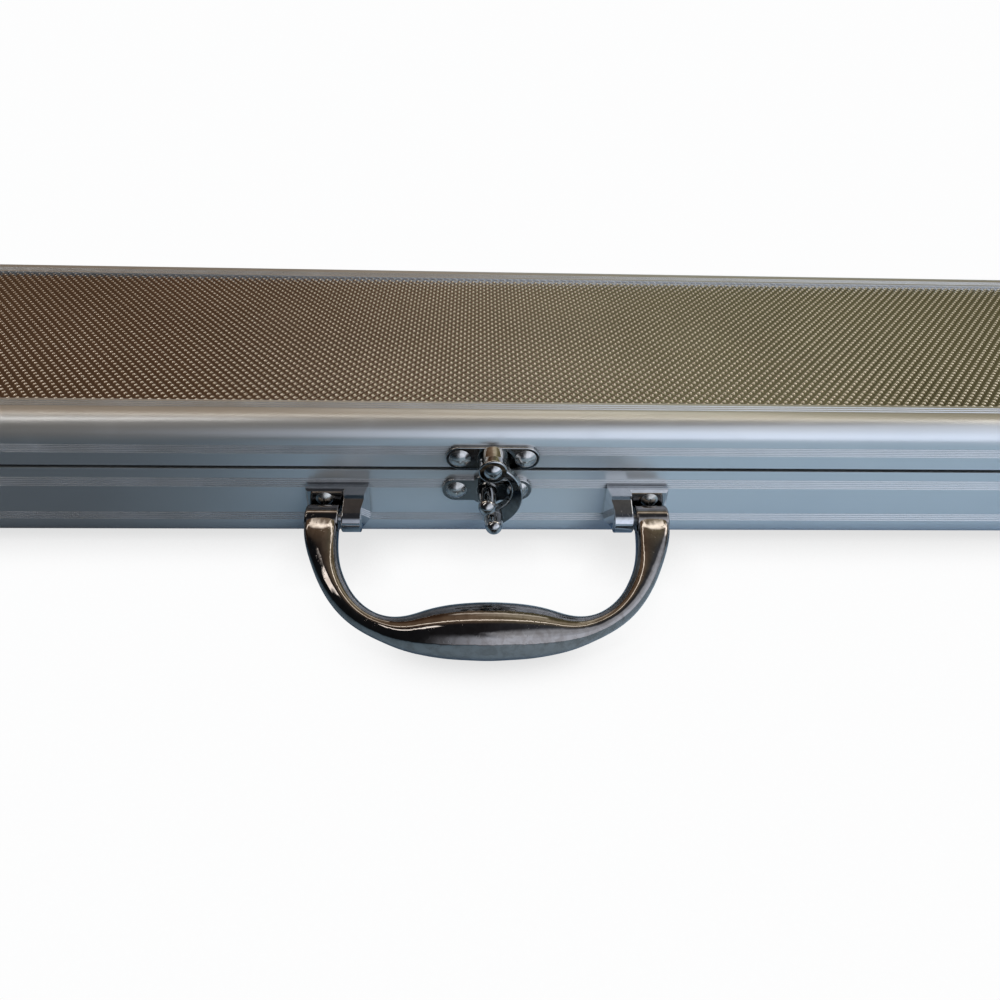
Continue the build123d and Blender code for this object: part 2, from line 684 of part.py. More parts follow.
# Right half of the handle's centreline, from the pivot to mid grip, in the handle's plane:
# x, out from the pivot axis, half width, half thickness, superellipse exponent
HALF_PATH = [
    (47.8, 1.2, 4.62, 3.45, 4.6),
    (47.65, 4.0, 4.73, 3.62, 4.2),
    (47.0, 7.4, 4.45, 3.7, 3.4),
    (45.8, 11.4, 3.95, 3.6, 2.8),
    (44.1, 15.6, 3.5, 3.5, 2.4),
    (41.7, 19.8, 3.2, 3.4, 2.2),
    (38.8, 23.5, 2.95, 3.3, 2.1),
    (35.3, 26.6, 2.8, 3.2, 2.0),
    (31.4, 28.9, 2.8, 3.2, 2.0),
    (27.2, 30.45, 3.15, 3.4, 2.0),
    (21.6, 31.4, 4.25, 4.4, 2.0),
    (16.2, 31.35, 5.55, 5.5, 2.0),
    (10.4, 31.15, 6.5, 6.3, 2.0),
    (5.0, 31.05, 6.9, 6.75, 2.0),
    (0.0, 31.05, 7.05, 6.9, 2.0),
]
HANDLE_PATH = HALF_PATH + [(-x, *rest) for x, *rest in reversed(HALF_PATH[:-1])]

# The handle's plane: across the case and outwards, with its normal
DROOP_RAD = math.radians(DROOP)
HANDLE_AXIS = Vector(0, FRONT - PIVOT_OFF, PIVOT_Z)
HANDLE_X = Vector(1, 0, 0)
HANDLE_OUT = Vector(0, -math.cos(DROOP_RAD), -math.sin(DROOP_RAD))
HANDLE_NORMAL = Vector(0, -math.sin(DROOP_RAD), math.cos(DROOP_RAD))


def handle_point(x, out):
    return HANDLE_AXIS + HANDLE_X * x + HANDLE_OUT * out


def superellipse(half_width, half_thick, exponent, count=20):
    points = []
    for i in range(count):
        angle = 2 * math.pi * (i + 0.5) / count
        cos, sin = math.cos(angle), math.sin(angle)
        points.append((half_width * math.copysign(abs(cos) ** (2 / exponent), cos),
                       half_thick * math.copysign(abs(sin) ** (2 / exponent), sin)))
    return points


def station_plane(i):
    """Plane across the handle's centreline at a station; the ends point along the arms."""
    x, out = HANDLE_PATH[i][:2]
    if i == 0:
        dx, dout = 0.0, 1.0
    elif i == len(HANDLE_PATH) - 1:
        dx, dout = 0.0, -1.0
    else:
        before, after = HANDLE_PATH[i - 1], HANDLE_PATH[i + 1]
        dx, dout = after[0] - before[0], after[1] - before[1]
    scale = 1 / math.hypot(dx, dout)
    tangent = (HANDLE_X * dx + HANDLE_OUT * dout) * scale
    across = (HANDLE_X * (-dout) + HANDLE_OUT * dx) * scale
    return Plane(origin=handle_point(x, out), x_dir=across, z_dir=tangent)


def make_handle():
    """Lofted bow with a bored barrel at each end."""
    radius = ARM_END_R
    bulge = 1 - COS45       # how far a rim arc's middle lies from its corner, per radius
    with BuildPart() as handle:
        for i, (_, _, half_width, half_thick, exponent) in enumerate(HANDLE_PATH):
            with BuildSketch(station_plane(i)):
                with BuildLine():
                    Spline(*superellipse(half_width, half_thick, exponent), periodic=True)
                make_face()
        loft()
        # barrels about the pivot axis, rounded at both rims
        for s in (-1, 1):
            x0, x1 = s * ARM_IN, s * ARM_OUT
            rim0, rim1 = ARM_IN_RIM, ARM_OUT_RIM
            with BuildSketch(Plane(origin=HANDLE_AXIS, x_dir=(1, 0, 0), z_dir=HANDLE_NORMAL)):
                with BuildLine():
                    Line((x0, 0), (x0, radius - rim0))
                    ThreePointArc((x0, radius - rim0),
                                  (x0 + s * rim0 * bulge, radius - rim0 * bulge),
                                  (x0 + s * rim0, radius))
                    Line((x0 + s * rim0, radius), (x1 - s * rim1, radius))
                    ThreePointArc((x1 - s * rim1, radius),
                                  (x1 - s * rim1 * bulge, radius - rim1 * bulge),
                                  (x1, radius - rim1))
                    Polyline((x1, radius - rim1), (x1, 0), (x0, 0))
                make_face()
            revolve(axis=Axis(HANDLE_AXIS, (1, 0, 0)), revolution_arc=360)
        # blind pin bores from the inner sides
        for s in (-1, 1):
            with BuildSketch(Plane(origin=handle_point(s * (ARM_IN - 1), 0),
                                   x_dir=HANDLE_OUT, z_dir=(s, 0, 0))):
                Circle(PIN_R + PIN_GAP)
            extrude(amount=ARM_BORE_END - ARM_IN + 1, mode=Mode.SUBTRACT)
    save(handle, "handle")


# ---------------------------------------------------------------------------
# Hinges on the rear: leaves with stop lips, and headed pins
# ---------------------------------------------------------------------------
def make_lid_leaf(where, x):
    """Lid leaf with the middle knuckle."""
    strip_top = 33.2        # the strip from the knuckle overlaps the leaf up to here
    with BuildPart() as leaf:
        with BuildSketch(face_plane("rear", x, 35.55)):
            Rectangle(HINGE_W, 5.5)
        extrude(amount=LEAF_T)
        fillet(leaf.edges().filter_by(Axis.Y).group_by(Axis.Z)[-1], LEAF_CORNER_R)
        with BuildSketch(face_plane("rear", x, (HINGE_Z + strip_top) / 2)):
            Rectangle(2 * KNUCKLE_MID, strip_top - HINGE_Z)
        extrude(amount=LEAF_T)
        with BuildSketch(knuckle_plane(x - KNUCKLE_MID)):
            Circle(KNUCKLE_R)
        extrude(amount=2 * KNUCKLE_MID)
        # lip that meets the base leaf's lip when the lid is fully open
        with BuildSketch(knuckle_plane(x - STOP_W / 2)):
            with Locations((1.9, 2.7)):
                Rectangle(1.4, 5.4)
        extrude(amount=STOP_W)
        with BuildSketch(knuckle_plane(x - 20)):
            Circle(HINGE_PIN_R + HINGE_PIN_GAP)
        extrude(amount=40, mode=Mode.SUBTRACT)
        with BuildSketch(face_plane("rear", x, LID_LEAF_RIVET_Z, DRILL_OUT)):
            with Locations((-LEAF_RIVET_DX, 0), (LEAF_RIVET_DX, 0)):
                Circle(RIVET_R)
        extrude(amount=-4, mode=Mode.SUBTRACT)
    save(leaf, f"hinge_lid_leaf_{where}")


def make_base_leaf(where, x):
    """Base leaf with the two side knuckles."""
    strip_low = 27.4        # the strips from the knuckles overlap the leaf down to here
    strip_dx = (HINGE_W - KNUCKLE_SIDE) / 2
    stop_front = 0.5 - HINGE_OFF    # stop lip, front and rear of the pin axis
    stop_rear = 5.2
    with BuildPart() as leaf:
        with BuildSketch(face_plane("rear", x, 23.3)):
            Rectangle(HINGE_W, 8.6)
        extrude(amount=LEAF_T)
        fillet(leaf.edges().filter_by(Axis.Y).group_by(Axis.Z)[0], LEAF_CORNER_R)
        for s in (-1, 1):
            with BuildSketch(face_plane("rear", x + s * strip_dx, (HINGE_Z + strip_low) / 2)):
                Rectangle(KNUCKLE_SIDE, HINGE_Z - strip_low)
            extrude(amount=LEAF_T)
            with BuildSketch(knuckle_plane(x + s * strip_dx - KNUCKLE_SIDE / 2)):
                Circle(KNUCKLE_R)
            extrude(amount=KNUCKLE_SIDE)
        # lip that stops the lid
        with BuildSketch(knuckle_plane(x - STOP_W / 2)):
            with Locations(((stop_front + stop_rear) / 2, -3.8)):
                Rectangle(stop_rear - stop_front, 1.2)
        extrude(amount=STOP_W)
        with BuildSketch(knuckle_plane(x - 20)):
            Circle(HINGE_PIN_R)
        extrude(amount=40, mode=Mode.SUBTRACT)
        with BuildSketch(face_plane("rear", x, BASE_LEAF_RIVET_Z, DRILL_OUT)):
            with Locations((-LEAF_RIVET_DX, 0), (LEAF_RIVET_DX, 0)):
                Circle(RIVET_R)
        extrude(amount=-4, mode=Mode.SUBTRACT)
    save(leaf, f"hinge_base_leaf_{where}")


def make_hinge_pin(where, x):
    """Pin with a tapered head at each end."""
    half_length = HINGE_W / 2 + 0.05
    with BuildPart() as pin:
        with BuildSketch(knuckle_plane(x - half_length)):
            Circle(HINGE_PIN_R)
        extrude(amount=2 * half_length)
        for s in (-1, 1):
            with BuildSketch(Plane(origin=(x + s * half_length, HINGE_Y, HINGE_Z),
                                   x_dir=(0, 1, 0), z_dir=(s, 0, 0))):
                Circle(1.7)
            extrude(amount=0.7, taper=25)
    save(pin, f"hinge_pin_{where}")


# ---------------------------------------------------------------------------
# Fasteners, one file for each identical set
# ---------------------------------------------------------------------------
LATCH_HEAD = (PLATE_T, 3.15, 1.5)   # head seat, head radius, head height
HINGE_HEAD = (LEAF_T, 2.3, 0.9)
CAP_HEAD = (CAP, 2.6, 1.0)
SCREW_HEAD = (FOOT_T, 2.5, 1.05)
FASTENERS = {
    "latch_lid_rivets": (LATCH_LID_RIVETS, LATCH_HEAD),
    "latch_base_rivets": (LATCH_BASE_RIVETS, LATCH_HEAD),
    "hinge_lid_rivets": (HINGE_LID_RIVETS, HINGE_HEAD),
    "hinge_base_rivets": (HINGE_BASE_RIVETS, HINGE_HEAD),
    "corner_lid_rivets": (cap_rivets(LID), CAP_HEAD),
    "corner_base_rivets": (cap_rivets(BASE), CAP_HEAD),
    "handle_bracket_screws": (BRACKET_SCREWS, SCREW_HEAD),
}


def make_fasteners(name, places, head):
    """Domed fasteners; the bracket screws also get a cross recess."""
    seat, _, head_h = head
    section = rivet_section(*head)
    with BuildPart() as fasteners:
        for place in places:
            plane, axis = spin_plane(*place)
            with BuildSketch(plane):
                make_face(section)
            revolve(axis=axis, revolution_arc=360)
        if name == "handle_bracket_screws":
            for place in places:
                with BuildSketch(face_plane(*place, seat + head_h + 0.5)):
                    Rectangle(2.4, 0.5)
                    Rectangle(0.5, 2.4)
                extrude(amount=-1.1, mode=Mode.SUBTRACT)
    save(fasteners, name)


# ---------------------------------------------------------------------------
# Build every piece
# ---------------------------------------------------------------------------
os.makedirs("parts", exist_ok=True)

for frame_level in (LID, BASE):
    for frame_side in OUTWARD:
        make_frame(frame_level, frame_side)
    for cap_long_side in ("front", "rear"):
        for cap_short_side in ("left", "right"):
            make_corner_cap(frame_level, cap_long_side, cap_short_side)
make_panel("lid_panel", Z_TOP - LIP_T - PANEL_T - PANEL_PLAY / 2)
make_panel("base_panel", Z_BOTTOM + LIP_T + PANEL_PLAY / 2)

make_bed_floor()
for block_name, bounds in BLOCKS.items():
    make_block(block_name, *bounds)
make_lid_pad()

for latch_name, latch_x in LATCH_X.items():
    make_latch_plate(latch_name, latch_x)
    make_latch_pivot(latch_name, latch_x)
    make_latch_hook(latch_name, latch_x)
    make_latch_post(latch_name, latch_x)

make_bracket("left", -1)
make_bracket("right", 1)
make_handle_pins()
make_handle()

for hinge_name, hinge_x in HINGE_X.items():
    make_lid_leaf(hinge_name, hinge_x)
    make_base_leaf(hinge_name, hinge_x)
    make_hinge_pin(hinge_name, hinge_x)

for set_name, (set_places, set_head) in FASTENERS.items():
    make_fasteners(set_name, set_places, set_head)
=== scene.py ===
import math

import bmesh
import bpy
import numpy as np
from mathutils import Matrix, Vector


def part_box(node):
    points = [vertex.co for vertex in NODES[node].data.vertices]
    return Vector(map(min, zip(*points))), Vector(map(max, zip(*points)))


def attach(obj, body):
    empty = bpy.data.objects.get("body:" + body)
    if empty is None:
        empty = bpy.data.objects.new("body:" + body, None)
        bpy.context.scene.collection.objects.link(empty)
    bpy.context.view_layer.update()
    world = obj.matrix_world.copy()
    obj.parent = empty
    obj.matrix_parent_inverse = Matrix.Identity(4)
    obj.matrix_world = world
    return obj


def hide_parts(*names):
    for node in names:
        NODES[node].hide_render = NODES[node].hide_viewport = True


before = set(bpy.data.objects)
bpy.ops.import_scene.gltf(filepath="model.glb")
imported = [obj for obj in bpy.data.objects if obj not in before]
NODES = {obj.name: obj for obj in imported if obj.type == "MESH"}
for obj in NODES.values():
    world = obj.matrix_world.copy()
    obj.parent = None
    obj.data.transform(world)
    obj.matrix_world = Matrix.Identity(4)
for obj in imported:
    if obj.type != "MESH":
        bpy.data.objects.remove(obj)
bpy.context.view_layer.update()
MM = 0.001

# The case's own middle, from the lid panel
_lo, _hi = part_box("lid_panel")
MID_Y = (_lo.y + _hi.y) / 2
PANEL_TOP = _hi.z
PANEL_LOW = _lo.z


# ---------------------------------------------------------------------------
# Node helpers
# ---------------------------------------------------------------------------
def add(tree, kind, inputs=None, **props):
    node = tree.nodes.new(kind)
    for k, v in props.items():
        setattr(node, k, v)
    for k, v in (inputs or {}).items():
        plug(tree, v, node.inputs[k])
    return node


def plug(tree, value, socket):
    if isinstance(value, bpy.types.NodeSocket):
        tree.links.new(value, socket)
    else:
        if socket.type == "RGBA" and len(value) == 3:
            value = (*value, 1.0)
        socket.default_value = value


def mth(tree, op, a, b=None, c=None, clamp=False):
    node = add(tree, "ShaderNodeMath", operation=op, use_clamp=clamp)
    for i, v in enumerate((a, b, c)):
        if v is not None:
            plug(tree, v, node.inputs[i])
    return node.outputs[0]


def vec(tree, op, a, b=None):
    node = add(tree, "ShaderNodeVectorMath", operation=op)
    plug(tree, a, node.inputs[0])
    if b is not None:
        plug(tree, b, node.inputs[1])
    return node.outputs["Value" if op in ("DOT_PRODUCT", "LENGTH") else "Vector"]


def step(tree, value, lo, hi, out_lo=0.0, out_hi=1.0, smooth=True):
    """value from lo to hi becomes out_lo to out_hi, held at both ends."""
    node = add(tree, "ShaderNodeMapRange", interpolation_type="SMOOTHSTEP" if smooth else "LINEAR")
    if hi < lo:
        lo, hi, out_lo, out_hi = hi, lo, out_hi, out_lo
    for k, v in (("Value", value), ("From Min", lo), ("From Max", hi), ("To Min", out_lo), ("To Max", out_hi)):
        plug(tree, v, node.inputs[k])
    return node.outputs["Result"]


def mix(tree, fac, a, b, blend="MIX"):
    node = add(tree, "ShaderNodeMix", data_type="RGBA", blend_type=blend, clamp_factor=True)
    plug(tree, fac, node.inputs[0])
    plug(tree, a, node.inputs[6])
    plug(tree, b, node.inputs[7])
    return node.outputs[2]


def noise(tree, vector, scale, detail=2.0, rough=0.5, distortion=0.0):
    return add(tree, "ShaderNodeTexNoise", {
        "Vector": vector, "Scale": scale, "Detail": detail, "Roughness": rough, "Distortion": distortion,
    }).outputs["Fac"]


def spots(tree, vector, scale, feature="F1"):
    return add(tree, "ShaderNodeTexVoronoi", {"Vector": vector, "Scale": scale}, feature=feature).outputs["Distance"]


def ramp(tree, fac, stops, interpolation="LINEAR"):
    node = add(tree, "ShaderNodeValToRGB", {"Fac": fac})
    cr = node.color_ramp
    cr.interpolation = interpolation
    while len(cr.elements) > 1:
        cr.elements.remove(cr.elements[-1])
    cr.elements[0].position = stops[0][0]
    cr.elements[0].color = (*stops[0][1], 1)
    for pos, col in stops[1:]:
        cr.elements.new(pos).color = (*col, 1)
    return node.outputs["Color"]


def stretched(tree, scale, where="Object"):
    """Object coordinates scaled by (x, y, z), for grain that runs one way."""
    coord = add(tree, "ShaderNodeTexCoord").outputs[where]
    return vec(tree, "MULTIPLY", coord, scale)


def bump(tree, height, distance, strength=1.0, normal=None):
    node = add(tree, "ShaderNodeBump", {"Height": height, "Distance": distance, "Strength": strength})
    if normal is not None:
        plug(tree, normal, node.inputs["Normal"])
    return node.outputs["Normal"]


def new_material(name):
    m = bpy.data.materials.new(name)
    m.use_nodes = True
    m.node_tree.nodes.clear()
    return m, m.node_tree


def close(tree, shader):
    out = add(tree, "ShaderNodeOutputMaterial")
    tree.links.new(shader, out.inputs["Surface"])


def sharp_edges(tree, radius):
    """1 along sharp edges, 0 on flats."""
    geo = add(tree, "ShaderNodeNewGeometry")
    soft = add(tree, "ShaderNodeBevel", {"Radius": radius}, samples=4).outputs["Normal"]
    same = vec(tree, "DOT_PRODUCT", geo.outputs["Normal"], soft)
    return step(tree, same, 0.995, 0.90)


def crevice(tree, reach, low=0.25, lo=0.25, hi=0.85):
    """1 in the open, falling to low inside grooves and gaps: painted shade from ambient occlusion."""
    ao = add(tree, "ShaderNodeAmbientOcclusion", {"Distance": reach}, samples=6)
    return step(tree, ao.outputs["AO"], lo, hi, low, 1.0)


def times(tree, colour, k):
    return mix(tree, 1.0, colour, add(tree, "ShaderNodeCombineXYZ", {"X": k, "Y": k, "Z": k}).outputs[0], "MULTIPLY")


# ---------------------------------------------------------------------------
# Materials
# ---------------------------------------------------------------------------
def anodised(name, along):
    """Satin anodised extrusion: draw lines along it, a scattering oxide skin over soft metal reflections."""
    m, t = new_material(name)
    obj = add(t, "ShaderNodeTexCoord").outputs["Object"]
    grain = (5, 2600, 2600) if along == "x" else (2600, 5, 2600)
    lines = noise(t, vec(t, "MULTIPLY", obj, grain), 1.0, 3.0, 0.6)
    broad = noise(t, vec(t, "MULTIPLY", obj, (3, 300, 300) if along == "x" else (300, 3, 300)), 1.0, 2.0, 0.5)
    cloud = noise(t, obj, 22.0, 3.0, 0.55)
    grit = noise(t, obj, 2200.0, 2.0, 0.6)
    smudge = noise(t, obj, 75.0, 4.0, 0.6, 0.4)
    base = mix(t, step(t, cloud, 0.35, 0.65), (0.80, 0.83, 0.86), (0.86, 0.88, 0.90))
    base = mix(t, step(t, lines, 0.55, 0.8, 0.0, 0.25), base, (0.70, 0.74, 0.78))
    # edge patches: sharp edges in smudge patches. The metal is lighter there as wear; the oxide skin below gets a
    # painted highlight there, for the light lines along the ridges.
    edge_patches = mth(t, "MULTIPLY", sharp_edges(t, 0.0003), step(t, smudge, 0.30, 0.62, 0.35, 0.8))
    base = mix(t, mth(t, "MULTIPLY", edge_patches, 0.5), base, (0.93, 0.93, 0.93))
    # painted shade: grooves and gaps darkened by ambient occlusion, in the metal and in the skin
    crevice_shade = crevice(t, 0.0022, 0.08, 0.20, 0.62)
    base = times(t, base, crevice_shade)
    rough = mth(t, "ADD", 0.25, mth(t, "MULTIPLY", lines, 0.10))
    rough = mth(t, "ADD", rough, step(t, smudge, 0.52, 0.75, 0.0, 0.07))
    rough = mth(t, "SUBTRACT", rough, mth(t, "MULTIPLY", edge_patches, 0.12))
    height = mth(t, "ADD", mth(t, "MULTIPLY", lines, 0.6), mth(t, "MULTIPLY", grit, 0.35))
    height = mth(t, "ADD", height, mth(t, "MULTIPLY", broad, 1.1))
    nrm = bump(t, height, 0.000012, 0.7)
    metal = add(t, "ShaderNodeBsdfPrincipled", {
        "Base Color": base, "Metallic": 1.0, "Roughness": rough, "Normal": nrm,
    })
    # skin colour: painted shade in the grooves, and a pale blue-white painted highlight along the edges, where the
    # skin also takes a larger share
    skin = add(t, "ShaderNodeBsdfDiffuse", {"Color": mix(t, edge_patches, times(t, (0.50, 0.47, 0.42), crevice_shade), (0.80, 0.84, 0.90)), "Roughness": 0.6, "Normal": nrm})
    both = add(t, "ShaderNodeMixShader", {"Fac": mth(t, "ADD", 0.24, mth(t, "MULTIPLY", edge_patches, 0.22))})
    t.links.new(metal.outputs[0], both.inputs[1])
    t.links.new(skin.outputs[0], both.inputs[2])
    close(t, both.outputs[0])
    return m


def embossed(name):
    """Bright embossed sheet: bright dot crowns, and the ground between them darker as painted shade between the
    dots.
    """
    m, t = new_material(name)
    obj = add(t, "ShaderNodeTexCoord").outputs["Object"]
    z = add(t, "ShaderNodeSeparateXYZ", {"Vector": obj}).outputs["Z"]
    crown = step(t, z, PANEL_TOP + 0.00004, PANEL_TOP + 0.00026)
    cloud = noise(t, obj, 14.0, 3.0, 0.6)
    roll = noise(t, vec(t, "MULTIPLY", obj, (9, 900, 900)), 1.0, 3.0, 0.6)
    fine = noise(t, obj, 1500.0, 2.0, 0.6)
    # painted shade: the ground between the dots is darker than the crowns
    ground = mix(t, step(t, cloud, 0.35, 0.65), (0.58, 0.55, 0.51), (0.68, 0.65, 0.61))
    base = mix(t, crown, ground, (1.0, 0.99, 0.97))
    rough = mth(t, "ADD", mth(t, "ADD", 0.09, mth(t, "MULTIPLY", roll, 0.06)), mth(t, "MULTIPLY", crown, 0.01))
    nrm = bump(t, mth(t, "ADD", mth(t, "MULTIPLY", roll, 0.5), fine), 0.000008, 0.6)
    metal = add(t, "ShaderNodeBsdfPrincipled", {
        "Base Color": base, "Metallic": 1.0, "Roughness": rough, "Normal": nrm,
    })
    close(t, metal.outputs[0])
    return m


def plated(name, light, dark, rough, pit=0.3, wave=0.5, wear=(0.5, 0.46, 0.40), wear_amount=0.35, painted_dark_reflection=0.0):
    """Bright plating: faint casting waves, fine pits, smudges, and a duller ring where the edges are rubbed.
    The dark-reflection argument darkens the flat front and back faces, a painted reflection of the dark
    surroundings mirrored in them; the plating itself has no tarnish."""
    m, t = new_material(name)
    coord = add(t, "ShaderNodeTexCoord")
    obj = coord.outputs["Object"]
    waves = noise(t, obj, 160.0, 2.0, 0.5)
    smudge = noise(t, obj, 420.0, 4.0, 0.6, 0.6)
    pits = step(t, spots(t, obj, 1500.0), 0.22, 0.08)
    some = step(t, noise(t, obj, 260.0, 2.0, 0.5), 0.50, 0.62)
    pits = mth(t, "MULTIPLY", pits, some)
    scuff = noise(t, vec(t, "MULTIPLY", obj, (1800, 240, 1800)), 1.0, 3.0, 0.65)
    base = mix(t, step(t, smudge, 0.38, 0.68), light, dark)
    if painted_dark_reflection:
        # painted reflection: flat front and back faces darkened to stand for dark surroundings mirrored in them
        facing = mth(t, "ABSOLUTE", vec(t, "DOT_PRODUCT", coord.outputs["Normal"], (0.0, 1.0, 0.0)))
        dark_reflection_mask = mth(t, "MULTIPLY", step(t, facing, 0.90, 0.985), step(t, smudge, 0.25, 0.75, painted_dark_reflection, painted_dark_reflection * 0.8))
        base = mix(t, dark_reflection_mask, base, (0.055, 0.060, 0.062))
    # painted shade: recesses darkened by ambient occlusion
    crevice_shade = crevice(t, 0.0016, 0.25, 0.20, 0.65)
    base = times(t, base, crevice_shade)
    edge_patches = mth(t, "MULTIPLY", sharp_edges(t, 0.00035), step(t, smudge, 0.35, 0.6))
    base = mix(t, mth(t, "MULTIPLY", edge_patches, wear_amount), base, wear)
    base = mix(t, mth(t, "MULTIPLY", pits, 0.5), base, (0.20, 0.17, 0.14))
    r = mth(t, "ADD", rough, step(t, smudge, 0.5, 0.8, 0.0, 0.06))
    r = mth(t, "ADD", r, step(t, scuff, 0.55, 0.8, 0.0, 0.07))
    r = mth(t, "ADD", r, mth(t, "MULTIPLY", edge_patches, 0.10))
    r = mth(t, "ADD", r, mth(t, "MULTIPLY", pits, 0.25))
    h = mth(t, "SUBTRACT", mth(t, "MULTIPLY", waves, wave), mth(t, "MULTIPLY", pits, pit))
    h = mth(t, "ADD", h, mth(t, "MULTIPLY", scuff, 0.05))
    nrm = bump(t, h, 0.00006, 0.5)
    metal = add(t, "ShaderNodeBsdfPrincipled", {"Base Color": base, "Metallic": 1.0, "Roughness": r, "Normal": nrm})
    close(t, metal.outputs[0])
    return m


def brushed(name, light, dark, rough, grain):
    m, t = new_material(name)
    obj = add(t, "ShaderNodeTexCoord").outputs["Object"]
    lines = noise(t, vec(t, "MULTIPLY", obj, grain), 1.0, 4.0, 0.65)
    cloud = noise(t, obj, 60.0, 3.0, 0.6)
    base = mix(t, step(t, cloud, 0.35, 0.68), light, dark)
    base = mix(t, step(t, lines, 0.5, 0.75, 0.0, 0.35), base, dark)
    edge_patches = mth(t, "MULTIPLY", sharp_edges(t, 0.0004), 0.5)
    base = mix(t, edge_patches, base, (0.85, 0.84, 0.82))
    r = mth(t, "ADD", rough, mth(t, "MULTIPLY", lines, 0.18))
    nrm = bump(t, lines, 0.00002, 0.6)
    metal = add(t, "ShaderNodeBsdfPrincipled", {"Base Color": base, "Metallic": 1.0, "Roughness": r, "Normal": nrm})
    close(t, metal.outputs[0])
    return m


def plush(name, light, dark):
    """Short-pile velour: clumped pile, crushed patches and a soft sheen."""
    m, t = new_material(name)
    obj = add(t, "ShaderNodeTexCoord").outputs["Object"]
    pile = noise(t, obj, 2600.0, 3.0, 0.7)
    tuft = noise(t, vec(t, "MULTIPLY", obj, (700, 900, 900)), 1.0, 3.0, 0.6)
    crush = noise(t, obj, 38.0, 4.0, 0.55, 0.8)
    base = mix(t, step(t, pile, 0.35, 0.7), dark, light)
    base = mix(t, step(t, crush, 0.45, 0.68, 0.0, 0.55), base, (light[0] * 1.9, light[1] * 1.9, light[2] * 1.9))
    h = mth(t, "ADD", mth(t, "MULTIPLY", pile, 0.7), mth(t, "MULTIPLY", tuft, 0.6))
    nrm = bump(t, h, 0.0005, 0.9)
    cloth = add(t, "ShaderNodeBsdfPrincipled", {
        "Base Color": base, "Roughness": 0.95, "Normal": nrm,
        "Specular IOR Level": 0.15, "Sheen Weight": 0.65, "Sheen Roughness": 0.45,
        "Sheen Tint": (0.55, 0.57, 0.62),
    })
    close(t, cloth.outputs[0])
    return m


def stitch_thread(name, colour):
    m, t = new_material(name)
    obj = add(t, "ShaderNodeTexCoord").outputs["Object"]
    twist = noise(t, vec(t, "MULTIPLY", obj, (3000, 3000, 3000)), 1.0, 2.0, 0.6)
    base = mix(t, step(t, twist, 0.35, 0.65), colour, (colour[0] * 0.45, colour[1] * 0.45, colour[2] * 0.45))
    b = add(t, "ShaderNodeBsdfPrincipled", {
        "Base Color": base, "Roughness": 0.6, "Normal": bump(t, twist, 0.0001, 0.8), "Sheen Weight": 0.3,
    })
    close(t, b.outputs[0])
    return m


FRAME_X = anodised("anodised_x", "x")
FRAME_Y = anodised("anodised_y", "y")
EMBOSSED = embossed("embossed_sheet")
CAPS = plated("corner_plate", (0.74, 0.74, 0.74), (0.64, 0.64, 0.65), 0.13, 0.3, 0.5)
CHROME = plated("chrome_cast", (0.35, 0.32, 0.30), (0.27, 0.24, 0.22), 0.03, 0.55, 0.5, (0.60, 0.55, 0.48), 0.35)
HOOK = plated("chrome_hook", (0.60, 0.59, 0.58), (0.46, 0.45, 0.44), 0.05, 0.5, 0.9, (0.80, 0.78, 0.75), 0.7, painted_dark_reflection=0.92)
NICKEL = plated("nickel_plate", (0.60, 0.58, 0.56), (0.44, 0.42, 0.40), 0.07, 0.6, 1.0, (0.80, 0.77, 0.72), 0.7, painted_dark_reflection=0.86)
BRACKET = plated("bracket_plate", (0.66, 0.66, 0.67), (0.56, 0.56, 0.57), 0.08, 0.4, 0.7, (0.85, 0.84, 0.82), 0.6, painted_dark_reflection=0.45)
RIVET = plated("rivet_nickel", (0.66, 0.63, 0.59), (0.48, 0.46, 0.43), 0.24, 0.7, 0.6, (0.75, 0.72, 0.68), 0.6)
SCREW = plated("screw_nickel", (0.66, 0.62, 0.56), (0.46, 0.43, 0.39), 0.26, 0.7, 0.6, (0.75, 0.72, 0.68), 0.6)
PIN = brushed("pin_steel", (0.60, 0.60, 0.61), (0.42, 0.42, 0.43), 0.22, (4000, 500, 500))
HINGE = brushed("hinge_steel", (0.66, 0.66, 0.66), (0.50, 0.50, 0.50), 0.22, (30, 1600, 1600))
SHEET = brushed("base_sheet", (0.50, 0.50, 0.51), (0.36, 0.36, 0.37), 0.32, (12, 1400, 1400))
PLUSH = plush("plush_black", (0.030, 0.030, 0.033), (0.006, 0.006, 0.007))
PLUSH_LID = plush("plush_lid", (0.034, 0.034, 0.037), (0.007, 0.007, 0.008))
THREAD = stitch_thread("seam_thread", (0.05, 0.05, 0.055))

for name, o in NODES.items():
    if name.startswith(("lid_frame", "base_frame")):
        m = FRAME_X if name.endswith(("front", "rear")) else FRAME_Y
    elif "_corner_" in name and not name.endswith("rivets"):
        m = CAPS
    elif name == "base_panel":
        m = SHEET
    elif name.startswith(("latch_plate", "latch_post")):
        m = NICKEL
    elif name.startswith(("latch_hook", "latch_pivot")):
        m = HOOK
    elif name == "handle_bracket_screws":
        m = SCREW
    elif name.startswith("handle_bracket"):
        m = BRACKET
    elif name == "handle":
        m = CHROME
    elif name == "handle_pins" or name.startswith("hinge_pin"):
        m = PIN
    elif name.startswith("hinge_") and "leaf" in name:
        m = HINGE
    elif name.endswith("rivets"):
        m = RIVET
    else:
        m = PLUSH
    o.data.materials.clear()
    o.data.materials.append(m)


def link(mesh, name):
    o = bpy.data.objects.new(name, mesh)
    bpy.context.scene.collection.objects.link(o)
    return o


def mesh_from(name, verts, faces, smooth=True):
    me = bpy.data.meshes.new(name)
    me.from_pydata([tuple(v) for v in verts], [], [tuple(f) for f in faces])
    me.update()
    if smooth:
        me.polygons.foreach_set("use_smooth", np.ones(len(me.polygons), bool))
    return me


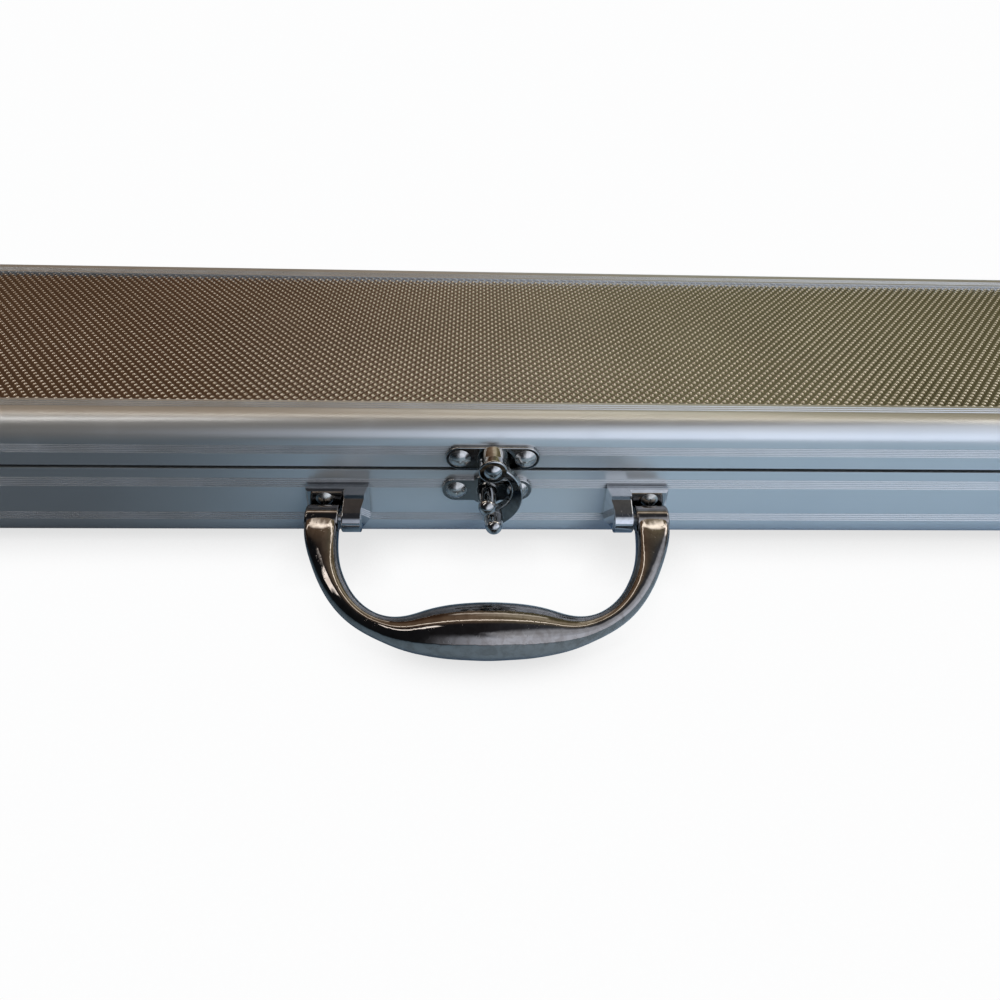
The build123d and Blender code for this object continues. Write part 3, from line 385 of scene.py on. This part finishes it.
# ---------------------------------------------------------------------------
# Embossed lid sheet: round dots on a square lattice laid diagonally
# ---------------------------------------------------------------------------
PITCH = 1.9                 # mm between neighbouring dots
HALF = PITCH / math.sqrt(2)  # mm between rows along X and Y
DOT_R = 0.66
DOT_H = 0.30
VIS_X = 398.95              # the sheet shows inside the frame's lips
VIS_Y = 38.95


def embossed_sheet():
    reach_x, reach_y = 401.6, 41.6
    na, nb = int(reach_x / HALF), int(reach_y / HALF)
    top, low = PANEL_TOP / MM, PANEL_LOW / MM
    corner, verts, faces = {}, [], []
    ring = [(math.cos(k * math.pi / 4), math.sin(k * math.pi / 4)) for k in range(8)]

    def corner_index(a, b):
        if (a, b) not in corner:
            corner[a, b] = len(verts)
            verts.append((a * HALF, b * HALF, top))
        return corner[a, b]

    cells = [(a, b) for a in range(-na, na + 1) for b in range(-nb, nb + 1) if (a + b) % 2 == 0]
    quads = []
    for a, b in cells:
        # corners of the diamond cell, in the order of ring directions 0, 2, 4, 6
        c = [corner_index(a + 1, b), corner_index(a, b + 1), corner_index(a - 1, b), corner_index(a, b - 1)]
        quads.append(c)
        x, y = a * HALF, b * HALF
        over = max(abs(x) - VIS_X, abs(y) - VIS_Y)
        h = DOT_H * min(1.0, max(0.0, (0.45 - over) / 0.3))
        if h <= 0:
            faces.append(c)
            continue
        n = len(verts)
        for dx, dy in ring:
            verts.append((x + dx * DOT_R, y + dy * DOT_R, top + 0.02 * h / DOT_H))
        for dx, dy in ring:
            verts.append((x + dx * DOT_R * 0.56, y + dy * DOT_R * 0.56, top + h * 0.70))
        verts.append((x, y, top + h))
        for k in range(4):
            # flat ground between the dot's foot and the cell's corners
            faces.append((c[k], n + (2 * k + 1) % 8, n + 2 * k))
            faces.append((c[k], n + 2 * k, n + (2 * k - 1) % 8))
            faces.append((c[k], c[(k + 1) % 4], n + (2 * k + 1) % 8))
        for k in range(8):
            j = (k + 1) % 8
            faces.append((n + k, n + j, n + 8 + j, n + 8 + k))
            faces.append((n + 8 + k, n + 8 + j, n + 16))
    # underside and rim close the sheet
    below = {}
    for i in list(corner.values()):
        below[i] = len(verts)
        verts.append((verts[i][0], verts[i][1], low))
    count = {}
    for c in quads:
        faces.append([below[i] for i in reversed(c)])
        for k in range(4):
            e = (c[k], c[(k + 1) % 4])
            count[e] = count.get(e, 0) + 1
    for (i, j) in count:
        if (j, i) not in count:
            faces.append((j, i, below[i], below[j]))
    verts = [(x * MM, y * MM + MID_Y, z * MM) for x, y, z in verts]
    me = mesh_from("lid_sheet", verts, faces)
    return link(me, "lid_sheet")


sheet = embossed_sheet()
sheet.data.materials.append(EMBOSSED)
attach(sheet, "lid")
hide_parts("lid_panel")


# ---------------------------------------------------------------------------
# Soft goods: puffed by cloth simulation, then given seams and stitches
# ---------------------------------------------------------------------------
SIM = 10.0                  # the simulation runs on meshes this many times life size


def puff(o, pinned, cap, pressure, frames=16, limits=None):
    """Swell a closed mesh with Blender's Cloth and bake the result. pinned: 0 to 1 per vertex. cap in metres."""
    rest = np.zeros(len(o.data.vertices) * 3)
    o.data.vertices.foreach_get("co", rest)
    rest = rest.reshape(-1, 3)
    out = rest
    centre = rest.mean(0)
    o.data.vertices.foreach_set("co", ((rest - centre) * SIM).ravel())
    group = o.vertex_groups.new(name="pin")
    for level in sorted(set(np.round(pinned, 2))):
        if level > 0:
            group.add([int(i) for i in np.nonzero(np.round(pinned, 2) == level)[0]], float(level), "REPLACE")
    mod = o.modifiers.new("cloth", "CLOTH")
    s = mod.settings
    s.quality = 6
    s.mass = 0.3
    s.tension_stiffness = s.compression_stiffness = 12
    s.shear_stiffness = 6
    s.bending_stiffness = 0.6
    s.air_damping = 3
    s.use_pressure = True
    s.uniform_pressure_force = pressure
    s.effector_weights.gravity = 0
    s.vertex_group_mass = "pin"
    mod.collision_settings.use_collision = False
    mod.point_cache.frame_start = 1
    mod.point_cache.frame_end = frames
    scn = bpy.context.scene
    for f in range(1, frames + 1):
        scn.frame_set(f)
    dg = bpy.context.evaluated_depsgraph_get()
    made = o.evaluated_get(dg).to_mesh()
    moved = np.zeros(len(made.vertices) * 3)
    made.vertices.foreach_get("co", moved)
    o.evaluated_get(dg).to_mesh_clear()
    out = moved.reshape(-1, 3) / SIM + centre
    o.modifiers.remove(mod)
    o.vertex_groups.remove(group)
    scn.frame_set(1)
    shift = out - rest
    size = np.linalg.norm(shift, axis=1, keepdims=True)
    shift *= np.minimum(1.0, cap / np.maximum(size, 1e-9))
    out = rest + shift
    if limits is not None:
        out = np.clip(out, limits[0], limits[1])
    o.data.vertices.foreach_set("co", out.ravel())
    o.data.update()
    return shift


def finish_soft(o, material, node, body, levels=1, *more):
    o.data.materials.clear()
    o.data.materials.append(material)
    o.data.polygons.foreach_set("use_smooth", np.ones(len(o.data.polygons), bool))
    if levels:
        sub = o.modifiers.new("round", "SUBSURF")
        sub.levels = sub.render_levels = levels
    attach(o, body)
    if node:
        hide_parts(node, *more)


def wave_noise(x, y, seed, scale):
    """Smooth repeatable unevenness between -1 and 1."""
    r = np.random.default_rng(seed)
    total = 0
    for k in range(7):
        a = r.uniform(0, 2 * math.pi)
        f = scale * (0.6 + 0.35 * k)
        total = total + np.sin((x * math.cos(a) + y * math.sin(a)) * f + r.uniform(0, 6.28)) / (1 + 0.5 * k)
    return total / 3.2


def rail(name):
    """A foam block in plush: crowned top, rounded arrises, flat where it stands."""
    lo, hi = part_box(name)
    o = link(NODES[name].data.copy(), "plush_" + name)
    co = np.zeros(len(o.data.vertices) * 3)
    o.data.vertices.foreach_get("co", co)
    co = co.reshape(-1, 3)
    lo, hi = np.array(lo), np.array(hi)
    mid, half = (lo + hi) / 2, (hi - lo) / 2
    keep = (half - np.array([0.0009, 0.0009, 0.0007])) / half
    co = mid + (co - mid) * keep
    o.data.vertices.foreach_set("co", co.ravel())
    o.data.update()
    vox = o.modifiers.new("voxel", "REMESH")
    vox.mode = "VOXEL"
    vox.voxel_size = 0.0026
    dg = bpy.context.evaluated_depsgraph_get()
    me = bpy.data.meshes.new_from_object(o.evaluated_get(dg))
    old = o.data
    o.modifiers.clear()
    o.data = me
    bpy.data.meshes.remove(old)
    n = len(me.vertices)
    co = np.zeros(n * 3)
    me.vertices.foreach_get("co", co)
    co = co.reshape(-1, 3)
    pinned = np.where(co[:, 2] < lo[2] + 0.002, 1.0, 0.0)
    low = np.array([lo[0] + 0.00005, lo[1] + 0.00005, lo[2]])
    high = np.array([hi[0] - 0.00005, hi[1] - 0.00005, hi[2] + 0.0012])
    puff(o, pinned, 0.0022, 3.0, 14, (low, high))
    # a little unevenness along the top, which also sinks the top slightly
    me = o.data
    co = np.zeros(n * 3)
    me.vertices.foreach_get("co", co)
    co = co.reshape(-1, 3)
    top = np.clip((co[:, 2] - (hi[2] - 0.006)) / 0.005, 0, 1)
    co[:, 2] += top * (0.00035 * wave_noise(co[:, 0], co[:, 1], len(name), 60.0) - 0.0002)
    me.vertices.foreach_set("co", co.ravel())
    me.update()
    finish_soft(o, PLUSH, name, "base", 1)
    return o


for name in sorted(NODES):
    if name.startswith("bed_") and name != "bed_floor":
        rail(name)


def grid_solid(xs, ys, top, bottom, name):
    """Closed slab over a grid, with heights for each side as arrays of shape (len(xs), len(ys))."""
    nx, ny = len(xs), len(ys)
    verts = [(xs[i], ys[j], top[i, j]) for i in range(nx) for j in range(ny)]
    verts += [(xs[i], ys[j], bottom[i, j]) for i in range(nx) for j in range(ny)]
    n = nx * ny
    faces = []
    for i in range(nx - 1):
        for j in range(ny - 1):
            a = i * ny + j
            faces.append((a, a + ny, a + ny + 1, a + 1))
            faces.append((n + a, n + a + 1, n + a + ny + 1, n + a + ny))
    rim = [i * ny for i in range(nx)] + [(nx - 1) * ny + j for j in range(1, ny)]
    rim += [i * ny + ny - 1 for i in range(nx - 2, -1, -1)] + [j for j in range(ny - 2, 0, -1)]
    for k in range(len(rim)):
        a, b = rim[k], rim[(k + 1) % len(rim)]
        faces.append((b, a, n + a, n + b))
    return mesh_from(name, verts, faces)


def rounded_grid(lo, hi, step_x, step_y, radius):
    """Grid lines over a box, and a function that pulls its corner points onto a rounded rectangle."""
    xs = np.linspace(lo[0], hi[0], max(3, round((hi[0] - lo[0]) / step_x) + 1))
    ys = np.linspace(lo[1], hi[1], max(3, round((hi[1] - lo[1]) / step_y) + 1))

    def pull(co):
        mx, my = (lo[0] + hi[0]) / 2, (lo[1] + hi[1]) / 2
        hx, hy = (hi[0] - lo[0]) / 2, (hi[1] - lo[1]) / 2
        dx, dy = np.abs(co[:, 0] - mx) - (hx - radius), np.abs(co[:, 1] - my) - (hy - radius)
        both = (dx > 0) & (dy > 0)
        far = np.maximum(dx, dy)
        r = np.hypot(dx, dy)
        k = np.where(both & (r > 0), far / np.maximum(r, 1e-9), 1.0)
        co[:, 0] = np.where(both, mx + np.sign(co[:, 0] - mx) * (hx - radius + dx * k), co[:, 0])
        co[:, 1] = np.where(both, my + np.sign(co[:, 1] - my) * (hy - radius + dy * k), co[:, 1])
        return co

    return xs, ys, pull


def bed_floor():
    """The plush-lined floor, coved up a little against the blocks so that the channels have round bottoms."""
    lo, hi = (np.array(v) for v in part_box("bed_floor"))
    xs, ys, pull = rounded_grid(lo, hi, 0.0025, 0.0018, 0.0108)
    X, Y = np.meshgrid(xs, ys, indexing="ij")
    away = np.full(X.shape, 1.0)
    for name in NODES:
        if name.startswith("bed_") and name != "bed_floor":
            a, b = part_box(name)
            dx = np.maximum(np.maximum(a.x - X, X - b.x), 0)
            dy = np.maximum(np.maximum(a.y - Y, Y - b.y), 0)
            away = np.minimum(away, np.hypot(dx, dy))
    cove = np.clip(1 - away / 0.0065, 0, 1) ** 2
    top = hi[2] + 0.0026 * cove * (away > 0) + 0.00022 * wave_noise(X, Y, 3, 90.0)
    bottom = np.full(X.shape, lo[2] + 0.0013)
    inside = (np.abs(X) < hi[0] - 0.0062) & (np.abs(Y - MID_Y) < (hi[1] - lo[1]) / 2 - 0.0062)
    bottom[inside] = lo[2]
    me = grid_solid(xs, ys, top, bottom, "plush_bed_floor")
    co = np.zeros(len(me.vertices) * 3)
    me.vertices.foreach_get("co", co)
    co = pull(co.reshape(-1, 3))
    me.vertices.foreach_set("co", co.ravel())
    me.update()
    o = link(me, "plush_bed_floor")
    finish_soft(o, PLUSH, "bed_floor", "base", 0)


bed_floor()


def lid_pad():
    """Quilted pad: the back lies flat in the lid, the front swells between its sewn lines."""
    lo, hi = (np.array(v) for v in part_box("lid_pad"))
    step_at = hi[2] - 0.0013
    mid_y = (lo[1] + hi[1]) / 2
    hx, hy = hi[0], (hi[1] - lo[1]) / 2
    xs, ys, pull = rounded_grid(lo, hi, 0.0032, 0.0032, 0.0122)
    X, Y = np.meshgrid(xs, ys, indexing="ij")
    # grid lines nearest to the sewn ones
    cross = [int(np.argmin(np.abs(xs - s))) for s in np.linspace(-hx + 0.006, hx - 0.006, 13)]
    along = [int(np.argmin(np.abs(ys - s))) for s in (lo[1] + 0.006, mid_y, hi[1] - 0.006)]
    front = np.full(X.shape, lo[2] + 0.0012)
    edge = np.minimum(hx - np.abs(X), hy - np.abs(Y - mid_y))
    front += 0.0012 * np.clip(1 - edge / 0.004, 0, 1) ** 2
    back = np.full(X.shape, step_at)
    me = grid_solid(xs, ys, back, front, "plush_lid_pad")
    co = np.zeros(len(me.vertices) * 3)
    me.vertices.foreach_get("co", co)
    co = pull(co.reshape(-1, 3))
    me.vertices.foreach_set("co", co.ravel())
    o = link(me, "plush_lid_pad")
    nx, ny = len(xs), len(ys)
    pinned = np.ones(2 * nx * ny)
    ii, jj = np.meshgrid(np.arange(nx), np.arange(ny), indexing="ij")
    free = (ii > cross[0]) & (ii < cross[-1]) & (jj > along[0]) & (jj < along[-1])
    free &= ~np.isin(ii, cross) & ~np.isin(jj, along)
    pinned[nx * ny:] = np.where(free, 0.0, 1.0).ravel()
    puff(o, pinned, 0.0026, 9.0, 16)
    me = o.data
    co = np.zeros(len(me.vertices) * 3)
    me.vertices.foreach_get("co", co)
    co = co.reshape(-1, 3)
    face = np.arange(len(co)) >= nx * ny
    seam = np.zeros(len(co))
    seam[nx * ny:] = ((np.isin(ii, cross) & (jj >= along[0]) & (jj <= along[-1]))
                      | (np.isin(jj, along) & (ii >= cross[0]) & (ii <= cross[-1]))).ravel()
    co[:, 2] += np.where(face & (seam > 0), 0.0009, 0)
    me.vertices.foreach_set("co", co.ravel())
    me.update()
    finish_soft(o, PLUSH_LID, "lid_pad", "lid", 1)

    # stitches lie along the seams
    verts, faces = [], []
    z = lo[2] + 0.0012 + 0.00055
    def stitch(x, y, dx, dy):
        n = len(verts)
        L, w = 0.0011, 0.00028
        for s, r in ((-1, 0.35), (-0.6, 1.0), (0.6, 1.0), (1, 0.35)):
            for k in range(6):
                a = k * math.pi / 3
                side, up = math.cos(a) * w * r, math.sin(a) * w * r
                verts.append((x + dx * L * s - dy * side, y + dy * L * s + dx * side, z - up * 0.9))
        for q in range(3):
            for k in range(6):
                i, j = n + q * 6 + k, n + q * 6 + (k + 1) % 6
                faces.append((i, j, j + 6, i + 6))
        faces.append([n + k for k in reversed(range(6))])
        faces.append([n + 18 + k for k in range(6)])
    for i in cross:
        for y in np.arange(ys[along[0]], ys[along[-1]], 0.0034):
            stitch(xs[i], y + 0.0017, 0, 1)
    for j in along:
        for x in np.arange(xs[cross[0]], xs[cross[-1]], 0.0034):
            stitch(x + 0.0017, ys[j], 1, 0)
    o = link(mesh_from("lid_pad_stitches", verts, faces), "lid_pad_stitches")
    o.data.materials.append(THREAD)
    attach(o, "lid")


lid_pad()


# ---------------------------------------------------------------------------
# Floor, light, surroundings and camera
# ---------------------------------------------------------------------------
def studio():
    # pale floor. Metal sees it as a cloth-blue table that is darker to the left.
    s = 6.0
    me = bpy.data.meshes.new("floor")
    me.from_pydata([(-s, -s, 0), (s, -s, 0), (s, s, 0), (-s, s, 0)], [], [(0, 1, 2, 3)])
    floor = link(me, "floor")
    m, t = new_material("pale_floor")
    obj = add(t, "ShaderNodeTexCoord").outputs["Object"]
    path = add(t, "ShaderNodeLightPath")
    grain = noise(t, obj, 900.0, 2.0, 0.5)
    x = add(t, "ShaderNodeSeparateXYZ", {"Vector": obj}).outputs["X"]
    table = ramp(t, step(t, x, -0.30, 0.30, smooth=False), [
        (0.0, (0.012, 0.022, 0.034)), (0.29, (0.022, 0.044, 0.072)), (0.343, (0.056, 0.095, 0.140)),
        (0.443, (0.20, 0.31, 0.44)), (0.545, (0.33, 0.47, 0.64)), (0.62, (0.285, 0.415, 0.57)),
        (1.0, (0.31, 0.45, 0.625)),
    ])
    seen = add(t, "ShaderNodeBsdfDiffuse", {"Color": table})
    # painted contact shadow: the floor the camera sees glows white, darkened by ambient occlusion near the case
    ao = add(t, "ShaderNodeAmbientOcclusion", {"Distance": 0.020}, samples=8)
    shade = step(t, ao.outputs["AO"], 0.20, 0.85, 0.74, 1.0)
    shade = mth(t, "MULTIPLY", shade, mth(t, "ADD", 0.992, mth(t, "MULTIPLY", grain, 0.012)))
    white = mix(t, shade, (0.0, 0.0, 0.0), (0.985, 0.986, 0.988))
    plain = add(t, "ShaderNodeEmission", {"Color": white, "Strength": 1.0})
    both = add(t, "ShaderNodeMixShader", {"Fac": path.outputs["Is Camera Ray"]})
    t.links.new(seen.outputs[0], both.inputs[1])
    t.links.new(plain.outputs[0], both.inputs[2])
    close(t, both.outputs[0])
    me.materials.append(m)

    # surroundings, as direction: a dim room with soft windows; the camera sees plain pale
    world = bpy.data.worlds.new("studio")
    bpy.context.scene.world = world
    world.use_nodes = True
    t = world.node_tree
    t.nodes.clear()
    d = add(t, "ShaderNodeTexCoord").outputs["Generated"]
    d = vec(t, "NORMALIZE", d)
    sep = add(t, "ShaderNodeSeparateXYZ", {"Vector": d})
    dx, dy, dz = sep.outputs

    def window(centre, wide, high, soft=0.06):
        c = Vector(centre).normalized()
        u = Vector((0, 0, 1)).cross(c)
        u = (u if u.length > 0.05 else Vector((1, 0, 0))).normalized()
        v = c.cross(u)
        along = vec(t, "DOT_PRODUCT", d, tuple(c))
        ahead = mth(t, "MAXIMUM", along, 0.02)
        p = mth(t, "ABSOLUTE", mth(t, "DIVIDE", vec(t, "DOT_PRODUCT", d, tuple(u)), ahead))
        q = mth(t, "ABSOLUTE", mth(t, "DIVIDE", vec(t, "DOT_PRODUCT", d, tuple(v)), ahead))
        k = mth(t, "MULTIPLY", step(t, p, wide + soft, wide - soft), step(t, q, high + soft, high - soft))
        return mth(t, "MULTIPLY", k, step(t, along, 0.02, 0.06))

    # back of the room: brown at the left, olive at the right
    back = ramp(t, step(t, dx, -0.6, 0.6, smooth=False), [
        (0.0, (0.084, 0.046, 0.026)), (0.28, (0.094, 0.054, 0.032)), (0.45, (0.195, 0.146, 0.106)),
        (0.60, (0.145, 0.125, 0.080)), (0.78, (0.180, 0.170, 0.098)), (1.0, (0.115, 0.104, 0.056)),
    ])
    # a brighter olive band across the right half, dark above and below it at the far right
    right = step(t, dx, 0.0, 0.28)
    band = mth(t, "MULTIPLY", step(t, dz, 0.535, 0.560), step(t, dz, 0.600, 0.578))
    far = mth(t, "MULTIPLY", step(t, dx, 0.26, 0.36), mth(t, "MULTIPLY", step(t, dz, 0.545, 0.530), step(t, dz, 0.470, 0.500)))
    back = mix(t, mth(t, "MULTIPLY", far, 0.75), back, (0.012, 0.010, 0.006))
    back = mix(t, 1.0, back, mix(t, mth(t, "MULTIPLY", band, right), (0, 0, 0), (0.16, 0.15, 0.075)), "ADD")
    front = ramp(t, step(t, dx, -0.6, 0.6, smooth=False), [
        (0.0, (0.012, 0.014, 0.017)), (0.5, (0.030, 0.030, 0.034)), (1.0, (0.10, 0.115, 0.14)),
    ])
    col = mix(t, step(t, dy, -0.15, 0.25), front, back)

    def glow(col, k, colour):
        return mix(t, 1.0, col, mix(t, k, (0, 0, 0), colour), "ADD")

    # warm light overhead and a little behind; cool light high in front, to the right
    col = glow(col, window((0.0, 0.30, 0.95), 1.5, 0.30, 0.16), (0.15, 0.115, 0.080))
    col = glow(col, window((0.0, 0.16, 0.98), 1.6, 0.022, 0.018), (2.6, 2.5, 2.3))
    col = glow(col, window((0.55, -0.50, 0.80), 0.62, 0.20, 0.12), (0.55, 0.60, 0.68))
    # pale wall low in front, fading out to the left
    wall = mth(t, "MULTIPLY", step(t, dx, -0.40, 0.15), step(t, dy, 0.0, -0.3))
    wall = mth(t, "MULTIPLY", wall, mth(t, "MULTIPLY", step(t, dz, -0.02, 0.06), step(t, dz, 0.72, 0.40)))
    col = glow(col, wall, (0.90, 1.00, 1.18))
    # narrow bright windows that polished metal picks up
    col = glow(col, window((-0.55, -0.25, 0.80), 0.05, 0.34, 0.02), (2.6, 2.5, 2.4))
    col = glow(col, window((0.10, 0.62, 0.78), 0.30, 0.05, 0.02), (0.9, 0.86, 0.78))
    col = glow(col, window((0.75, 0.10, 0.65), 0.10, 0.16, 0.03), (2.0, 1.9, 1.8))
    col = glow(col, window((0.25, 0.45, 0.86), 0.30, 0.10, 0.06), (0.32, 0.30, 0.26))
    path = add(t, "ShaderNodeLightPath")
    col = mix(t, path.outputs["Is Camera Ray"], col, (0.985, 0.986, 0.988))
    bg = add(t, "ShaderNodeBackground", {"Color": col, "Strength": 1.0})
    out = add(t, "ShaderNodeOutputWorld")
    t.links.new(bg.outputs[0], out.inputs["Surface"])

    def softbox(name, at, aim, size, watts, colour, glossy):
        light = bpy.data.lights.new(name, "AREA")
        light.shape = "RECTANGLE"
        light.size, light.size_y = size
        light.energy = watts
        light.color = colour
        o = bpy.data.objects.new(name, light)
        bpy.context.scene.collection.objects.link(o)
        o.location = at
        o.rotation_mode = "QUATERNION"
        o.rotation_quaternion = (Vector(aim) - Vector(at)).to_track_quat("-Z", "Y")
        o.visible_glossy = glossy
        return o

    softbox("key", (0.35, 0.05, 1.2), (0, 0, 0), (0.8, 0.5), 11.0, (1.0, 0.90, 0.74), False)
    softbox("fill", (0.6, -1.0, 0.9), (0, 0, 0), (1.0, 0.6), 2.5, (0.90, 0.95, 1.0), False)


studio()

camera = bpy.data.objects.new("camera", bpy.data.cameras.new("camera"))
bpy.context.scene.collection.objects.link(camera)
camera.data.sensor_width = 36.0
camera.data.lens = 25.67
camera.data.clip_start, camera.data.clip_end = 0.01, 50
CAM_X = -0.00526
camera.location = (CAM_X, -0.2069 + MID_Y, 0.1760)
camera.rotation_mode = "QUATERNION"
camera.rotation_quaternion = Matrix((
    (0.9992, -0.0144, -0.0373),
    (-0.0253, 0.4941, -0.8690),
    (0.0310, 0.8693, 0.4933),
)).to_quaternion()
bpy.context.scene.camera = camera
# the picture is framed above the lens axis only from the camera's own place
drive = camera.data.driver_add("shift_y").driver
drive.type = "SCRIPTED"
var = drive.variables.new()
var.name = "x"
var.type = "TRANSFORMS"
var.targets[0].id = camera
var.targets[0].transform_type = "LOC_X"
var.targets[0].transform_space = "WORLD_SPACE"
drive.expression = "-0.2 * (abs(x + 0.00526) < 0.00005)"

bpy.context.scene.view_settings.view_transform = "Standard"

bpy.context.view_layer.update()
